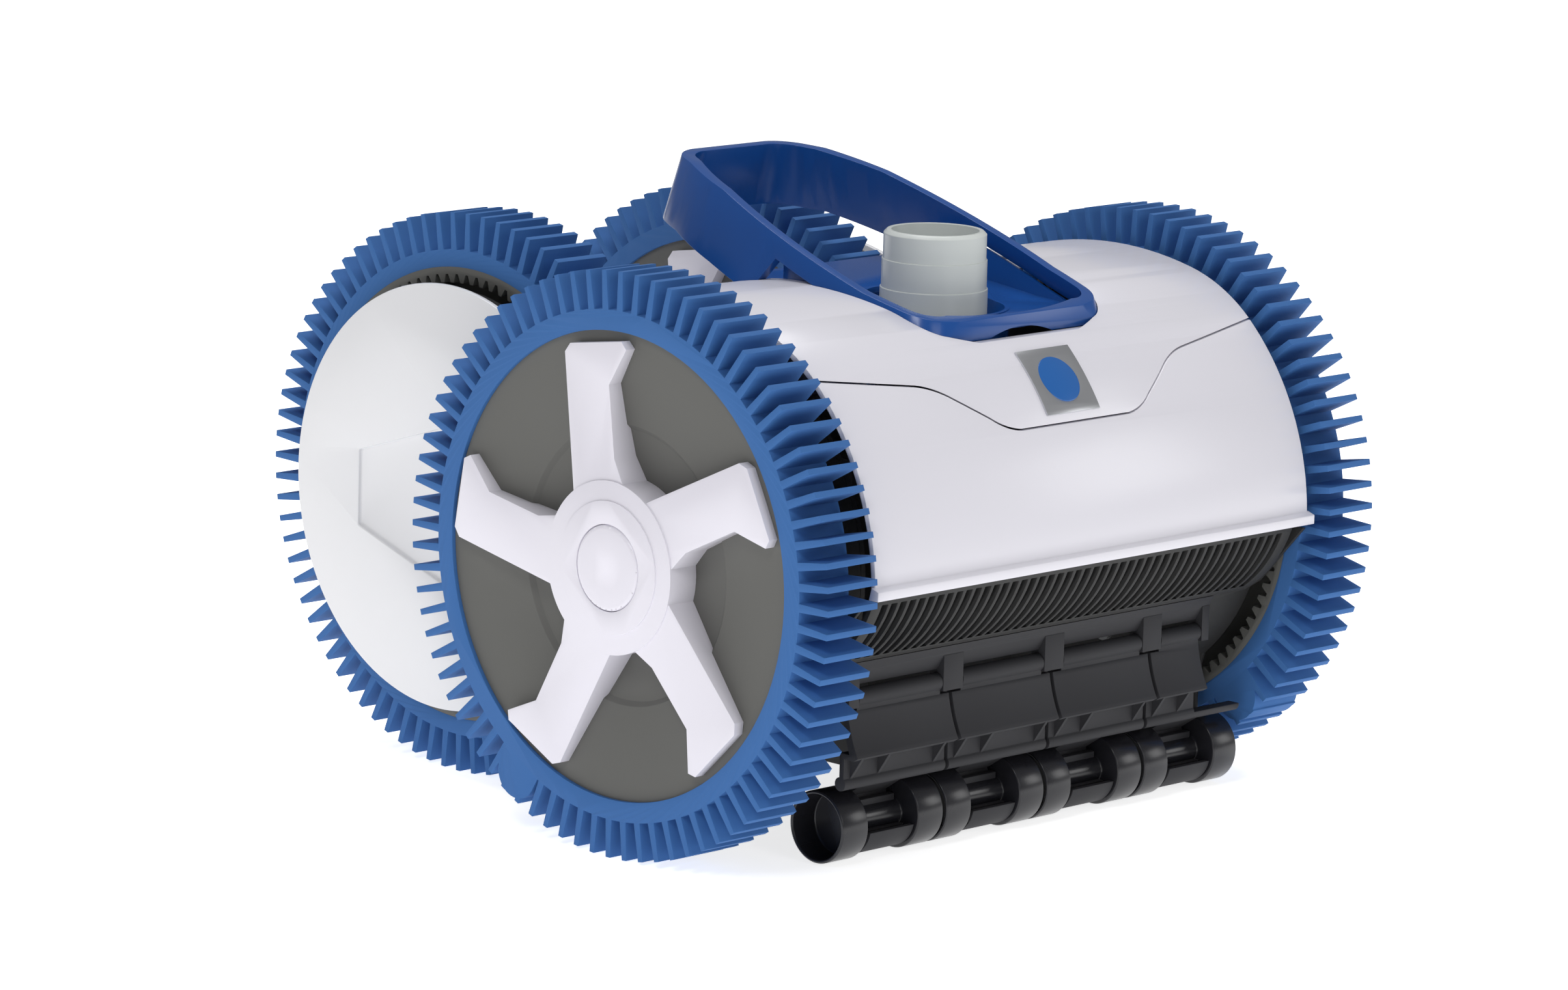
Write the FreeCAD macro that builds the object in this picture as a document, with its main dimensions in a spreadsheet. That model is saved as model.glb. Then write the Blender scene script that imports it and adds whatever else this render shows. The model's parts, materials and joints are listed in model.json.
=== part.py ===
"""Pool cleaner: a four-wheel suction cleaner that rolls over the floor of a swimming pool.

Frame: +X to the cleaner's left-hand wheels seen from the front, -Y is the front, +Z up.
The origin is on the floor, below the middle of the wheelbase and of the track.
"""
import FreeCAD
import Part
import math
import os
import Sketcher
from FreeCAD import Placement, Rotation, Vector

SIZES = {
    # wheels: each is drawn with its open face at x = 0 and its cap side towards +X
    "tyre_radius": 125.0,
    "tyre_width": 29.0,
    "wheelbase": 158.8,
    "band_radius": 108.5,
    "lip_radius": 99.8,
    "lip_depth": 2.0,
    "rim_radius": 101.0,
    "rim_wall": 2.7,
    "disc_wall": 2.6,
    "dish_depth": 9.0,
    "dish_radius": 30.0,
    "hub_radius": 14.0,
    "hub_start": 2.0,
    "blade_count": 80.0,
    "blade_root": 3.6,
    "blade_tip": 2.6,
    "hump_width": 23.0,
    "cap_face": 33.0,
    "cap_hub_radius": 37.0,
    "button_radius": 18.4,
    "button_depth": 6.0,
    "axle_radius": 8.0,
    "running_gap": 0.05,
    "play": 0.4,
    # where each wheel's open face stands along X
    "front_wheel_face": 143.5,
    "rear_left_face": 111.8,
    "rear_right_face": 72.8,
    # gear train: ring gears in the wheels, one pinion shaft on each side
    "ring_teeth": 96.0,
    "pinion_teeth": 16.0,
    "ring_gear_width": 14.0,
    "train_module": 1.75,
    "small_teeth": 16.0,
    "large_teeth": 32.0,
    "gear_backlash": 0.36,
    "drive_shaft_radius": 6.0,
    "turbine_shaft_radius": 5.0,
    "post_radius": 4.0,
    "gear_plane": 118.0,
    "small_gear_width": 7.0,
    "large_gear_width": 6.0,
    "turbine_y": -76.0,
    "turbine_rise": 10.0,
    "turbine_radius": 39.0,
    "vane_count": 6.0,
    "vane_wall": 3.0,
    "housing_half": 40.0,
    # gear cases
    "case_wall": 2.5,
    "case_outer": 141.0,
    "case_inner": 114.3,
    "right_case_inner": 75.3,
    "pod_radius": 90.0,
    "drum_radius": 92.0,
    "boss_radius": 36.0,
    "disc_outer": 125.0,
    "disc_radius": 94.9,
    "disc_thickness": 3.0,
    # covers
    "cover_half": 137.0,
    "cover_radius": 117.5,
    "cover_wall": 2.5,
    "crown_bend": 81.0,
    "crown_radius": 188.0,
    "crown_rise": 110.25,
    "cover_back_bend": 14.0,
    "cover_foot": 205.0,
    "lip_reach": 3.0,
    "lip_height": 4.0,
    "seam_gap": 0.8,
    "pod_half": 55.0,
    # handle ring
    "ring_wall": 5.0,
    "ring_depth": 29.0,
    "ring_band": 9.0,
    "floor_height": 221.0,
    "floor_wall": 2.5,
    "well_radius": 31.0,
    "well_depth": 22.0,
    # hose cone
    "cone_y": -96.4,
    "cone_top": 255.0,
    "cone_base": 205.5,
    "cone_tip_radius": 22.4,
    "cone_step": 0.5,
    "cone_bore": 19.0,
    "cone_flange": 27.5,
    # roller skirts
    "skirt_count": 4.0,
    "skirt_width": 61.5,
    "skirt_pitch": 63.6,
    "skirt_centre": 11.5,
    "last_skirt_end": 107.7,
    "hinge_y": -159.4,
    "hinge_z": 74.0,
    "hinge_rod_radius": 2.0,
    "roller_y": -145.4,
    "roller_z": 16.6,
    "roller_radius": 15.7,
    "roller_ring": 15.5,
    "roller_wall": 1.6,
    "roller_shaft": 6.0,
    # frame
    "badge_radius": 11.0,
    "badge_depth": 0.8,
    "side_plate": 3.0,
    "cheek_thickness": 2.1,
    "side_plate_x": 114.0,
    "pan_height": 26.0,
    "funnel_front": -102.0,
    "funnel_back": -48.0,
    "funnel_foot": 22.0,
    "slot_count": 45.0,
    "slot_width": 3.7,
}

doc = FreeCAD.newDocument("PoolCleaner")
sheet = doc.addObject("Spreadsheet::Sheet", "Sizes")
for row, (alias, number) in enumerate(SIZES.items(), start=1):
    sheet.set(f"A{row}", alias)
    sheet.set(f"B{row}", str(number))
    sheet.setAlias(f"B{row}", alias)
doc.recompute()


class Size:
    """A number and the spreadsheet formula that gives it, kept together."""

    def __init__(self, value, formula):
        self.value = float(value)
        self.formula = formula

    def _join(self, other, sign, value, flip=False):
        first, last = (as_size(other), self) if flip else (self, as_size(other))
        return Size(value(first.value, last.value), f"({first.formula} {sign} {last.formula})")

    def __add__(self, other):
        return self._join(other, "+", lambda a, b: a + b)

    def __radd__(self, other):
        return self._join(other, "+", lambda a, b: a + b, flip=True)

    def __sub__(self, other):
        return self._join(other, "-", lambda a, b: a - b)

    def __rsub__(self, other):
        return self._join(other, "-", lambda a, b: a - b, flip=True)

    def __mul__(self, other):
        return self._join(other, "*", lambda a, b: a * b)

    def __rmul__(self, other):
        return self._join(other, "*", lambda a, b: a * b, flip=True)

    def __truediv__(self, other):
        return self._join(other, "/", lambda a, b: a / b)

    def __neg__(self):
        return Size(-self.value, f"(0 - {self.formula})")

    def __float__(self):
        return self.value


def as_size(number):
    """A Size from a Size or from a plain number."""
    return number if isinstance(number, Size) else Size(number, f"{float(number):.6f}")


def size(alias):
    """The named size of the spreadsheet."""
    return Size(SIZES[alias], f"Sizes.{alias}")


def bind(thing, **properties):
    """Bind properties to sizes; a double underscore in a name stands for a dot."""
    for name, value in properties.items():
        thing.setExpression(name.replace("__", "."), as_size(value).formula)


def place(thing, x=0, y=0, z=0, rotation=Rotation()):
    """Put an object at a bound position."""
    thing.Placement = Placement(Vector(float(x), float(y), float(z)), rotation)
    bind(thing, Placement__Base__x=x, Placement__Base__y=y, Placement__Base__z=z)
    return thing


ALONG_X = Rotation(Vector(0, 1, 0), 90)
HALF_TURN = Rotation(Vector(0, 0, 1), 180)
NODES = {}


def node(label, thing):
    """Keep an object as one named sub-part."""
    thing.Label = label
    NODES[label] = thing
    return thing


def box(low, high):
    """A box between two corners."""
    solid = doc.addObject("Part::Box", "Box")
    spans = [as_size(b) - a for a, b in zip(low, high)]
    solid.Length, solid.Width, solid.Height = [float(span) for span in spans]
    bind(solid, Length=spans[0], Width=spans[1], Height=spans[2])
    return place(solid, *low)


def rod(radius, start, end, y, z):
    """A cylinder along X from start to end."""
    solid = doc.addObject("Part::Cylinder", "Rod")
    solid.Radius, solid.Height = float(radius), float(as_size(end) - start)
    bind(solid, Radius=radius, Height=as_size(end) - start)
    return place(solid, start, y, z, ALONG_X)


def post(radius, x, y, bottom, top):
    """A cylinder along Z from bottom to top."""
    solid = doc.addObject("Part::Cylinder", "Post")
    solid.Radius, solid.Height = float(radius), float(as_size(top) - bottom)
    bind(solid, Radius=radius, Height=as_size(top) - bottom)
    return place(solid, x, y, bottom)


def fuse(*solids):
    """One solid out of several that touch or overlap."""
    if len(solids) == 1:
        return solids[0]
    whole = doc.addObject("Part::MultiFuse", "Union")
    whole.Shapes = list(solids)
    whole.Refine = True
    return whole


def cut(base, *tools):
    """The base without the tools."""
    rest = doc.addObject("Part::Cut", "Cut")
    rest.Base = base
    rest.Tool = fuse(*tools)
    rest.Refine = True
    return rest


def common(*solids):
    """The region that all the solids share."""
    shared = doc.addObject("Part::MultiCommon", "Common")
    shared.Shapes = list(solids)
    shared.Refine = True
    return shared


def group(*solids):
    """Separate solids kept as one sub-part."""
    bundle = doc.addObject("Part::Compound", "Group")
    bundle.Links = list(solids)
    return bundle


def copy_of(solid, x=0, y=0, z=0, rotation=Rotation()):
    """The same solid again at another bound place."""
    return place(group(solid), x, y, z, rotation)


class Arc:
    """The stretch of an outline that bends with a radius; bulge is +1 to the left, -1 to the right."""

    def __init__(self, radius, bulge):
        self.radius = as_size(radius)
        self.bulge = bulge


def arc_between(start, end, arc):
    """The shorter circular edge between two points, always drawn anticlockwise."""
    chord = end - start
    half = chord.Length / 2
    radius = max(arc.radius.value, half * 1.0000001)
    left = Vector(-chord.y, chord.x, 0).normalize()
    centre = start + chord * 0.5 - left * (arc.bulge * math.sqrt(radius * radius - half * half))
    first, last = (start, end) if arc.bulge < 0 else (end, start)
    begin = math.atan2(first.y - centre.y, first.x - centre.x)
    finish = math.atan2(last.y - centre.y, last.x - centre.x)
    if finish < begin:
        finish += 2 * math.pi
    return Part.ArcOfCircle(Part.Circle(centre, Vector(0, 0, 1), radius), begin, finish)


def draw(sketch, outline):
    """Draw a closed outline of bound points; an Arc between two points bends that stretch."""
    corners = [item for item in outline if not isinstance(item, Arc)]
    bends = {}
    count = -1
    for item in outline:
        if isinstance(item, Arc):
            bends[count] = item
        else:
            count += 1
    spots = [Vector(float(as_size(x)), float(as_size(y)), 0) for x, y in corners]
    ends = []
    for index, start in enumerate(spots):
        end = spots[(index + 1) % len(spots)]
        if index in bends:
            sketch.addGeometry(arc_between(start, end, bends[index]), False)
            ends.append((1, 2) if bends[index].bulge < 0 else (2, 1))
        else:
            sketch.addGeometry(Part.LineSegment(start, end), False)
            ends.append((1, 2))
    total = len(spots)
    for index in range(total):
        after = (index + 1) % total
        sketch.addConstraint(Sketcher.Constraint("Coincident", index, ends[index][1], after, ends[after][0]))
    for index, (x, y) in enumerate(corners):
        for kind, value in (("DistanceX", x), ("DistanceY", y)):
            rule = Sketcher.Constraint(kind, index, ends[index][0], float(as_size(value)))
            number = sketch.addConstraint(rule)
            sketch.setExpression(f"Constraints[{number}]", as_size(value).formula)
    for index, arc in bends.items():
        number = sketch.addConstraint(Sketcher.Constraint("Radius", index, arc.radius.value))
        sketch.setExpression(f"Constraints[{number}]", arc.radius.formula)


def new_body(plane, *outlines, lift=0):
    """A body with one sketch on an origin plane, moved along the plane's normal by lift."""
    body = doc.addObject("PartDesign::Body", "Body")
    return body, new_sketch(body, plane, *outlines, lift=lift)


def new_sketch(body, plane, *outlines, lift=0):
    """A sketch of closed outlines on one of the body's origin planes."""
    sketch = body.newObject("Sketcher::SketchObject", "Outline")
    support = [part for part in body.Origin.OriginFeatures if part.Role == plane][0]
    sketch.AttachmentSupport = [(support, "")]
    sketch.MapMode = "FlatFace"
    sketch.AttachmentOffset = Placement(Vector(0, 0, float(lift)), Rotation())
    bind(sketch, AttachmentOffset__Base__z=lift)
    for outline in outlines:
        draw_more(sketch, outline)
    return sketch


def draw_more(sketch, outline):
    """Draw an outline after whatever the sketch already holds."""
    if sketch.GeometryCount:
        raise ValueError("one outline in a sketch")
    draw(sketch, outline)


def pad(body, sketch, length):
    """Extrude a sketch."""
    feature = body.newObject("PartDesign::Pad", "Pad")
    feature.Profile = sketch
    feature.Length = float(length)
    bind(feature, Length=length)
    return feature


def prism_x(outline, start, end):
    """A solid with a (y, z) outline between two x values."""
    body, sketch = new_body("YZ_Plane", outline, lift=start)
    pad(body, sketch, as_size(end) - start)
    return body


def prism_y(outline, start, end):
    """A solid with an (x, z) outline between two y values."""
    body, sketch = new_body("XZ_Plane", outline, lift=-as_size(end))
    pad(body, sketch, as_size(end) - start)
    return body


def prism_z(outline, start, end):
    """A solid with an (x, y) outline between two z values."""
    body, sketch = new_body("XY_Plane", outline, lift=start)
    pad(body, sketch, as_size(end) - start)
    return body


def flared(low_outline, low, high_outline, high):
    """A solid between two (x, y) outlines at two heights, with straight walls between their edges."""
    body, lower = new_body("XY_Plane", low_outline, lift=low)
    upper = new_sketch(body, "XY_Plane", high_outline, lift=high)
    feature = body.newObject("PartDesign::AdditiveLoft", "Flare")
    feature.Profile = lower
    feature.Sections = [upper]
    feature.Ruled = True
    body.Tip = feature
    return body


def turned_x(outline, y=0, z=0):
    """A solid of revolution about the X direction; the outline holds (x, radius) points."""
    body, sketch = new_body("XZ_Plane", outline)
    turn = body.newObject("PartDesign::Revolution", "Turn")
    turn.Profile = sketch
    turn.ReferenceAxis = (sketch, ["H_Axis"])
    turn.Angle = 360
    return place(body, 0, y, z)


def turned_z(outline, x=0, y=0):
    """A solid of revolution about the Z direction; the outline holds (radius, z) points."""
    body, sketch = new_body("XZ_Plane", outline)
    turn = body.newObject("PartDesign::Revolution", "Turn")
    turn.Profile = sketch
    turn.ReferenceAxis = (sketch, ["V_Axis"])
    turn.Angle = 360
    return place(body, x, y, 0)


def fan(body, features, count):
    """Repeat features of a body about its X axis."""
    around = body.newObject("PartDesign::PolarPattern", "Fan")
    around.Originals = features
    around.Axis = ([part for part in body.Origin.OriginFeatures if part.Role == "X_Axis"][0], [""])
    around.Angle = 360
    around.Occurrences = int(float(count))
    bind(around, Occurrences=count)
    body.Tip = around
    return around


# ---------------------------------------------------------------- places worked out from the sizes
tyre_radius = size("tyre_radius")
axle_z = tyre_radius
front_y = -(size("wheelbase") / 2)
rear_y = size("wheelbase") / 2
play = size("play")
running_gap = size("running_gap")
turbine_y = size("turbine_y")
turbine_z = axle_z + size("turbine_rise")
wheel_module = size("wheelbase") / (size("ring_teeth") - size("pinion_teeth"))
train_distance = size("train_module") * (size("small_teeth") + size("large_teeth")) / 2


def idler_place():
    """The reduction gear's axis: as far from the turbine shaft as from the drive shaft, above both."""
    across, up = turbine_y.value, turbine_z.value - axle_z.value
    span = math.hypot(across, up)
    rise = math.sqrt(train_distance.value ** 2 - (span / 2) ** 2)
    return across / 2 + rise * up / span, axle_z.value + up / 2 - rise * across / span


idler_y, idler_z = idler_place()


# ---------------------------------------------------------------- gears
PRESSURE = math.radians(20)


def gear_face(module, teeth, phase, outer, inner, thinner):
    """A face bounded by involute teeth; one tooth is centred on the angle phase.

    outer and inner are the radii of the tips and of the roots, and thinner is taken off each
    tooth's width at the pitch circle.
    """
    pitch = module * teeth / 2
    base = pitch * math.cos(PRESSURE)
    half = math.pi / (2 * teeth) - thinner / (2 * pitch)
    spread = math.tan(PRESSURE) - PRESSURE
    low = max(base, inner)

    def flank(radius, centre, side):
        roll = math.acos(min(1.0, base / radius))
        angle = centre + side * (half + spread - math.tan(roll) + roll)
        return Vector(0, radius * math.cos(angle), radius * math.sin(angle))

    def at(radius, angle):
        return Vector(0, radius * math.cos(angle), radius * math.sin(angle))

    steps = 5
    edges = []
    pitch_angle = 2 * math.pi / teeth
    for tooth in range(int(teeth)):
        centre = phase + tooth * pitch_angle
        radii = [low + (outer - low) * step / steps for step in range(steps + 1)]
        rising = [flank(radius, centre, -1) for radius in radii]
        falling = [flank(radius, centre, 1) for radius in reversed(radii)]
        following = flank(low, centre + pitch_angle, -1)
        left_angle = math.atan2(falling[-1].z, falling[-1].y)
        right_angle = math.atan2(following.z, following.y)
        foot_left, foot_right = at(inner, left_angle), at(inner, right_angle)
        if low > inner + 1e-6:
            start = at(inner, math.atan2(rising[0].z, rising[0].y))
            edges.append(Part.makeLine(start, rising[0]))
        for points in (rising, falling):
            curve = Part.BSplineCurve()
            curve.interpolate(points)
            if points is falling:
                edges.append(Part.Arc(rising[-1], at(outer, centre), falling[0]).toShape())
            edges.append(curve.toShape())
        if low > inner + 1e-6:
            edges.append(Part.makeLine(falling[-1], foot_left))
        middle = at(inner, centre + pitch_angle / 2)
        edges.append(Part.Arc(foot_left, middle, foot_right).toShape())
    return Part.Face(Part.Wire(edges))


def gear_disc(module, teeth, phase, start, width, y, z, bore):
    """A spur gear about an axis along X."""
    pitch = module * teeth / 2
    face = gear_face(module, teeth, phase, pitch + module, pitch - 1.2 * module, SIZES["gear_backlash"] / 2)
    solid = face.extrude(Vector(width, 0, 0))
    if bore:
        solid = solid.cut(Part.makeCylinder(bore, width, Vector(0, 0, 0), Vector(1, 0, 0)))
    thing = doc.addObject("Part::Feature", "Gear")
    thing.Shape = solid
    thing.Placement = Placement(Vector(start, y, z), Rotation())
    return thing


def ring_gear():
    """The internal teeth of a wheel, with a tooth space centred on +Y and on -Y."""
    module = wheel_module.value
    teeth = SIZES["ring_teeth"]
    pitch = module * teeth / 2
    width = SIZES["ring_gear_width"]
    root = pitch + 1.25 * module
    space = gear_face(module, teeth, 0.0, root, pitch - 0.7 * module, -SIZES["gear_backlash"] / 2)
    blank = Part.makeCylinder(SIZES["rim_radius"] - 1.0, width, Vector(0, 0, 0), Vector(1, 0, 0))
    thing = doc.addObject("Part::Feature", "RingGear")
    thing.Shape = blank.cut(space.extrude(Vector(width, 0, 0)))
    return thing


# ---------------------------------------------------------------- wheels
tyre_width = size("tyre_width")
rim_face = tyre_width - size("lip_depth")
band_radius = size("band_radius")


def tyre_design():
    """Tyre: a band with a lip on the cap side, soft blades all round and one broad hump."""
    band = [
        (0, size("rim_radius")),
        (rim_face, size("rim_radius")),
        (rim_face, size("lip_radius")),
        (tyre_width, size("lip_radius")),
        (tyre_width, band_radius),
        (0, band_radius),
    ]
    body = turned_x(band)
    root, tip = size("blade_root") / 2, size("blade_tip") / 2
    blade = [
        (-root, band_radius - 1),
        (root, band_radius - 1),
        (tip, tyre_radius),
        (-tip, tyre_radius),
    ]
    one = pad(body, new_sketch(body, "YZ_Plane", blade), tyre_width)
    doc.recompute()
    fan(body, [one], size("blade_count"))
    half = size("hump_width") / 2
    height = tyre_radius - half
    hump = prism_x([(-half, band_radius - 1), (half, band_radius - 1), (half, height), Arc(half, -1),
                    (-half, height)], 0, tyre_width)
    hump.Placement = Placement(Vector(0, 0, 0), Rotation(Vector(1, 0, 0), 150))
    return fuse(body, hump)


def rim_design():
    """Rim: dished disc with its hub, an outer wall and the internal ring gear."""
    wall = size("disc_wall")
    inner = size("rim_radius") - size("rim_wall")
    dish = size("dish_depth")
    step = as_size(2.0)
    hub_face = rim_face - dish - step
    outline = [
        (0, inner),
        (0, size("rim_radius")),
        (rim_face, size("rim_radius")),
        (rim_face, size("lip_radius")),
        (rim_face - dish / 2, size("dish_radius") * 2),
        (rim_face - dish / 2 - step, size("dish_radius") * 2 - step),
        (hub_face, size("dish_radius")),
        (hub_face, size("axle_radius") + running_gap),
        (size("hub_start"), size("axle_radius") + running_gap),
        (size("hub_start"), size("hub_radius")),
        (hub_face - wall, size("hub_radius")),
        (hub_face - wall, size("dish_radius") - step),
        (rim_face - dish / 2 - step - wall, size("dish_radius") * 2 - step * 2),
        (rim_face - dish / 2 - wall, size("dish_radius") * 2 - step * 0.5),
        (rim_face - wall, inner),
    ]
    return fuse(turned_x(outline), ring_gear())


SPOKE_LEAN = 7.5


def spoke(inset):
    """One spoke in (y, z), pointing along +Z: one straight edge and one that ends in a hook."""
    return [
        (-(as_size(19.0) - inset), 10),
        (12.0 - as_size(inset), 10),
        (12.0 - as_size(inset), 33),
        (7.3 - as_size(inset), 46),
        (7.3 - as_size(inset), 77),
        (19.0 - as_size(inset), 91.5 - as_size(inset)),
        (16.5 - as_size(inset), 95 - as_size(inset)),
        (-(as_size(14.5) - inset), 94.5 - as_size(inset)),
        (-(as_size(18.0) - inset), 91 - as_size(inset)),
    ]


def cap_design():
    """Hub cap: five hooked spokes on a round centre, dished behind to sit on the rim's disc."""
    back = rim_face - size("dish_depth") - 2
    face = size("cap_face")
    body, sketch = new_body("YZ_Plane", spoke(0), lift=back)
    one = pad(body, sketch, face - 1.5 - back)
    doc.recompute()
    fan(body, [one], 5)
    hub = rod(size("cap_hub_radius"), back, face - 0.7, 0, 0)
    ring = rod(28.5, back, face, 0, 0)
    dish = size("dish_depth")
    behind = turned_x([
        (back - 1, 0),
        (back, 0),
        (back, size("dish_radius")),
        (rim_face - dish / 2 - 2, size("dish_radius") * 2 - 2),
        (rim_face - dish / 2, size("dish_radius") * 2),
        (rim_face, size("lip_radius")),
        (rim_face, size("lip_radius") + 3),
        (back - 1, size("lip_radius") + 3),
    ])
    seat = rod(size("button_radius") + play / 2, face - size("button_depth"), face + 1, 0, 0)
    axle_room = rod(size("axle_radius") + 6, back - 1, back + 5, 0, 0)
    return cut(fuse(body, hub, ring), behind, seat, axle_room)


def button_design():
    """Round cap button with a domed face."""
    face = size("cap_face")
    radius = size("button_radius")
    return turned_x([
        (face - size("button_depth"), 0),
        (face - size("button_depth"), radius),
        (face - 0.3, radius),
        (face + 0.5, radius - 1.2),
        (face + 0.9, radius - 9),
        (face + 1.0, 0),
    ])


def axle_design():
    """Fixed axle: flange inside the gear case, shaft through the hub, head that keeps the wheel on."""
    hub_end = rim_face - size("dish_depth") - 2
    reach = size("front_wheel_face") - size("case_outer")
    return turned_x([
        (-reach, 0),
        (-reach, size("axle_radius") + 4),
        (-as_size(0.6), size("axle_radius") + 4),
        (-as_size(0.6), size("axle_radius")),
        (hub_end + play, size("axle_radius")),
        (hub_end + play, size("axle_radius") + 4),
        (hub_end + play + 3, size("axle_radius") + 4),
        (hub_end + play + 3, 0),
    ])


RING_PITCH = 360.0 / SIZES["ring_teeth"]
THREE_TEETH = Rotation(Vector(1, 0, 0), -3 * RING_PITCH)
WHEELS = {
    "front_left": (-size("front_wheel_face"), front_y, HALF_TURN),
    "front_right": (size("front_wheel_face"), front_y, THREE_TEETH),
    "rear_left": (-size("rear_left_face"), rear_y, Rotation()),
    "rear_right": (size("rear_right_face"), rear_y, HALF_TURN),
}


def wheels():
    """Four wheels of one design, each of four pieces, and their fixed axles."""
    designs = {
        "tyre": tyre_design(),
        "rim": rim_design(),
        "hub_cap": cap_design(),
        "cap_button": button_design(),
    }
    spokes = Rotation(Vector(1, 0, 0), SPOKE_LEAN)
    for wheel, (x, y, rotation) in WHEELS.items():
        for piece, design in designs.items():
            turned = rotation * spokes if piece == "hub_cap" else rotation
            node(f"{wheel}_{piece}", copy_of(design, x, y, axle_z, turned))
    axle = axle_design()
    pins = [copy_of(axle, x, y, axle_z, HALF_TURN if x.value * (1 if "front" in wheel else -1) < 0 else Rotation())
            for wheel, (x, y, rotation) in WHEELS.items()]
    node("axle_pins", group(*pins))


# ---------------------------------------------------------------- gear cases
case_wall = size("case_wall")
case_outer = size("case_outer")
case_inner = size("case_inner")


def mirrored(side, x):
    """An x value on one side of the cleaner: side is -1 for the left and +1 for the right."""
    return as_size(x) if side > 0 else -as_size(x)


def rod_side(side, radius, near, far, y, z):
    """A cylinder along X between two distances from the middle, on one side."""
    if side > 0:
        return rod(radius, near, far, y, z)
    return rod(radius, -as_size(far), -as_size(near), y, z)


def case_blocks(side, inner, shrink, near, far):
    """The three round blocks that make a case: front pod, rear drum and the boss over the drive gear."""
    return [
        rod_side(side, size("pod_radius") - shrink, case_inner + near, case_outer - far, front_y, axle_z),
        rod_side(side, size("drum_radius") - shrink, as_size(inner) + near, size("disc_outer") - size("disc_thickness") - far,
                 rear_y, axle_z),
        rod_side(side, size("boss_radius") - shrink, as_size(inner) + near, case_outer - far, 0, axle_z),
    ]


def cheek(side):
    """Flange that closes the side between a pod, the front cover's lip and the skirts' end."""
    outline = [
        (front_y - 114, axle_z - 3), (front_y - 89.5, axle_z - 30.4), Arc(68, 1), (front_y - 55.5, axle_z - 94.8),
        (front_y - 36, axle_z - 97), (front_y - 30, axle_z - 75), (front_y - 70, axle_z - 3),
    ]
    near = case_outer - size("cheek_thickness")
    return prism_x(outline, near, case_outer) if side > 0 else prism_x(outline, -case_outer, -near)


def gear_case(name, side, inner):
    """A tray that is open inboard, its lid and the white round panel outboard."""
    outer = fuse(*case_blocks(side, inner, 0, 0, 0))
    room = fuse(*case_blocks(side, inner, case_wall, -1, case_wall))
    drive_hole = rod_side(side, size("drive_shaft_radius") + running_gap, as_size(inner) - 2, case_outer + 2, 0, axle_z)
    turbine_hole = rod_side(side, size("turbine_shaft_radius") + 2, as_size(inner) - 2, case_inner + 6,
                            turbine_y, turbine_z)
    pin = rod_side(side, size("post_radius"), case_inner + case_wall, case_outer - 1, idler_y, idler_z)
    plates = [
        rod_side(side, size("pod_radius"), case_inner, case_inner + case_wall, front_y, axle_z),
        rod_side(side, size("drum_radius"), inner, as_size(inner) + case_wall, rear_y, axle_z),
        rod_side(side, size("boss_radius"), inner, as_size(inner) + case_wall, 0, axle_z),
    ]
    tray = cut(fuse(cut(outer, room, *plates), pin, cheek(side)), drive_hole)
    node(f"{name}_gear_case", tray)
    if side > 0:
        over_boss = rod_side(side, size("boss_radius"), case_inner - 1, case_inner + case_wall + 1, 0, axle_z)
        node(f"{name}_pod_lid", cut(plates[0], over_boss, turbine_hole))
        plates = plates[1:]
        node(f"{name}_case_lid", cut(fuse(*plates), drive_hole))
    else:
        node(f"{name}_case_lid", cut(fuse(*plates), drive_hole, turbine_hole))
    panel(name, side)


def panel(name, side):
    """White round panel about the rear axle with a pressed trapezoid, cut away over the case's bulges."""
    thickness = size("disc_thickness")
    outer = size("disc_outer")
    disc = rod_side(side, size("disc_radius"), outer - thickness, outer, rear_y, axle_z)
    corners = [(rear_y - 6, axle_z + 33), (rear_y + 54, axle_z + 14), (rear_y + 54, axle_z - 20), (rear_y - 6, axle_z - 40)]
    start, end = (outer - 1.8, outer + 1) if side > 0 else (-(outer + 1), -(outer - 1.8))
    pressed = prism_x(corners, start, end)
    over_pod = rod_side(side, size("pod_radius") + play, outer - thickness - 1, outer + 1, front_y, axle_z)
    over_boss = rod_side(side, size("boss_radius") + play, outer - thickness - 1, outer + 1, 0, axle_z)
    node(f"{name}_case_panel", cut(disc, pressed, over_pod, over_boss))


def gear_cases():
    gear_case("left", -1, case_inner)
    gear_case("right", 1, size("right_case_inner"))


# ---------------------------------------------------------------- drive train
def angle_between(y0, z0, y1, z1):
    return math.atan2(z1 - z0, y1 - y0)


def side_start(side, near, width):
    """Where a gear of a width starts along +X when its near face is that far from the middle."""
    return near if side > 0 else -near - width


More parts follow.
